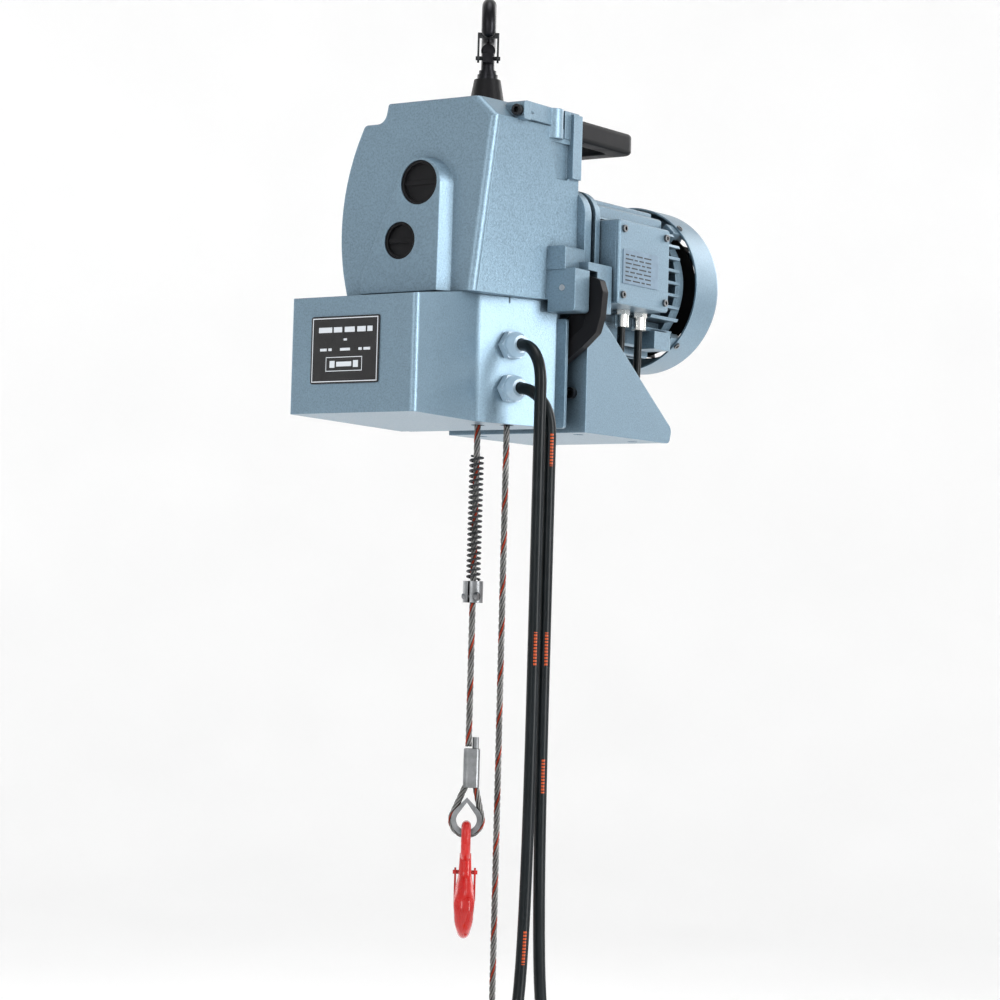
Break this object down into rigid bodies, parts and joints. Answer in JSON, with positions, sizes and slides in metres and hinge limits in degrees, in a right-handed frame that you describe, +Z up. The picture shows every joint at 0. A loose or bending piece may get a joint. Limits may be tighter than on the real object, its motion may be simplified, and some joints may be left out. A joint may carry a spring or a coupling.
{
  "type": "electric wire rope hoist",
  "caption": "Hanging electric hoist with a cast case, finned side motor, control box, wire rope with spring buffer and load hook, and a pendant.",
  "frame": {"origin": "seat of the suspension hook: the top of its bowl's inside, where the support bears", "axes": "+Z up along the load rope, -Y to the nameplate, +Y to the motor, +X to the cable glands"},
  "size_m": [0.2478, 0.4522, 1.204],
  "materials": {
    "silver_paint": "fine textured silver-blue metallic paint",
    "cast_paint": "silver-blue metallic paint over cast aluminium",
    "black_plastic": "black moulded plastic",
    "black_steel": "black coated steel",
    "steel": "machined steel",
    "zinc": "galvanised",
    "nickel": "nickel plated brass",
    "rope": "galvanised stranded wire rope",
    "red_paint": "glossy red paint",
    "grey_plastic": "light blue-grey plastic",
    "cable": "black rubber cable sheath",
    "plate": "printed metal plate",
    "copper": "laminations and varnished windings",
    "bronze": "machined iron",
    "yellow": "yellow moulded plastic",
    "white": "white plastic",
    "red_plastic": "red plastic"
  },
  "bodies": {
    "suspension": {"suspension_hook": "black_steel", "hook_nut": "steel"},
    "hoist": {"hook_base": "black_plastic", "housing_main": "cast_paint", "housing_cover": "cast_paint", "shaft_plugs": "black_plastic", "cap_screws": "zinc", "control_box": "silver_paint", "box_back": "silver_paint", "nameplate": "plate", "box_glands": "grey_plastic", "control_gear": "black_plastic", "rope_guides": "steel", "foot": "silver_paint", "handle": "black_plastic", "lever_bracket": "cast_paint", "lever_pin": "steel", "motor_adaptor": "cast_paint", "motor_frame": "cast_paint", "stator": "copper", "bearings": "steel", "end_shield": "cast_paint", "brake_magnet": "bronze", "fan_cowl": "silver_paint", "small_screws": "zinc", "terminal_box": "cast_paint", "terminal_lid": "cast_paint", "rating_plate": "plate", "motor_glands": "nickel", "motor_cable": "cable", "brake_cable": "cable", "rope_wrap": "rope", "slack_rope": "rope", "rope_coil": "rope", "control_cable": "cable", "supply_cable": "cable", "pendant": "yellow", "supply_plug": "black_plastic"},
    "top_latch": {"suspension_latch": "zinc"},
    "lever": {"release_lever": "black_plastic"},
    "motor_rotor": {"rotor": "steel", "brake_disc": "steel", "fan": "black_plastic"},
    "shaft_1": {"layshaft_1": "steel", "gear_1": "steel"},
    "shaft_2": {"layshaft_2": "steel", "gear_2": "steel"},
    "rope_sheave": {"sheave": "bronze", "sheave_gear": "steel"},
    "load_end": {"load_rope": "rope", "buffer_spring": "steel", "rope_clamp": "zinc", "ferrule": "zinc", "thimble": "zinc", "rope_eye": "rope"},
    "lower_hook": {"load_hook": "red_paint"},
    "lower_latch": {"load_latch": "zinc"},
    "up_key": {"button_up": "white"},
    "down_key": {"button_down": "black_plastic"},
    "stop_key": {"stop_button": "red_plastic"}
  },
  "joints": [
    {"name": "hoist_swivel", "type": "hinge", "parent": "suspension", "child": "hoist", "pos_m": [0, 0, -0.08], "axis": [0, 0, 1], "continuous": true},
    {"name": "top_latch_hinge", "type": "hinge", "parent": "suspension", "child": "top_latch", "pos_m": [0.00459, -0.00655, -0.046], "axis": [-0.8192, -0.5736, 0], "range_deg": [0, 25], "stiffness_Nm_per_rad": 0.05, "springref_deg": -17.19},
    {"name": "lever_hinge", "type": "hinge", "parent": "hoist", "child": "lever", "pos_m": [0.0763, 0.059, -0.27], "axis": [0, -1, 0], "range_deg": [0, 20], "stiffness_Nm_per_rad": 0.5, "springref_deg": -17.19},
    {"name": "motor_spin", "type": "hinge", "parent": "hoist", "child": "motor_rotor", "pos_m": [0, 0.17, -0.242], "axis": [0, -1, 0], "range_deg": [-2544.17, 40706.65]},
    {"name": "shaft_1_spin", "type": "hinge", "parent": "hoist", "child": "shaft_1", "pos_m": [0.01731, 0.02, -0.20594], "axis": [0, -1, 0], "range_deg": [-9394.34, 587.62]},
    {"name": "shaft_2_spin", "type": "hinge", "parent": "hoist", "child": "shaft_2", "pos_m": [-0.022, 0.02, -0.17586], "axis": [0, -1, 0], "range_deg": [-130.97, 2088.02]},
    {"name": "sheave_spin", "type": "hinge", "parent": "hoist", "child": "rope_sheave", "pos_m": [-0.043, 0.02, -0.231], "axis": [0, -1, 0], "range_deg": [-533.48, 33.81]},
    {"name": "load_travel", "type": "slide", "parent": "hoist", "child": "load_end", "axis": [0, 0, 1], "range_m": [-0.4002, 0.0252], "deforming": ["load_rope"]},
    {"name": "load_hook_swing", "type": "hinge", "parent": "load_end", "child": "lower_hook", "pos_m": [0, 0, -0.787], "axis": [-0.5736, 0.8192, 0], "range_deg": [-30, 30]},
    {"name": "load_latch_hinge", "type": "hinge", "parent": "lower_hook", "child": "lower_latch", "pos_m": [-0.00488, 0.00696, -0.838], "axis": [-0.8192, -0.5736, 0], "range_deg": [0, 25], "stiffness_Nm_per_rad": 0.05, "springref_deg": -17.19},
    {"name": "up_press", "type": "slide", "parent": "hoist", "child": "up_key", "axis": [0, 1, 0], "range_m": [0, 0.004], "stiffness_N_per_m": 300, "springref_m": -0.002},
    {"name": "down_press", "type": "slide", "parent": "hoist", "child": "down_key", "axis": [0, 1, 0], "range_m": [0, 0.004], "stiffness_N_per_m": 300, "springref_m": -0.002},
    {"name": "stop_press", "type": "slide", "parent": "hoist", "child": "stop_key", "axis": [0, 1, 0], "range_m": [0, 0.004], "stiffness_N_per_m": 300, "springref_m": -0.002}
  ],
  "couplings": [
    {"joint": "shaft_1_spin", "follows": "motor_spin", "ratio": -0.23077},
    {"joint": "shaft_2_spin", "follows": "motor_spin", "ratio": 0.051282},
    {"joint": "sheave_spin", "follows": "motor_spin", "ratio": -0.013093},
    {"joint": "load_travel", "follows": "motor_spin", "m_per_rad": -0.00056301}
  ]
}
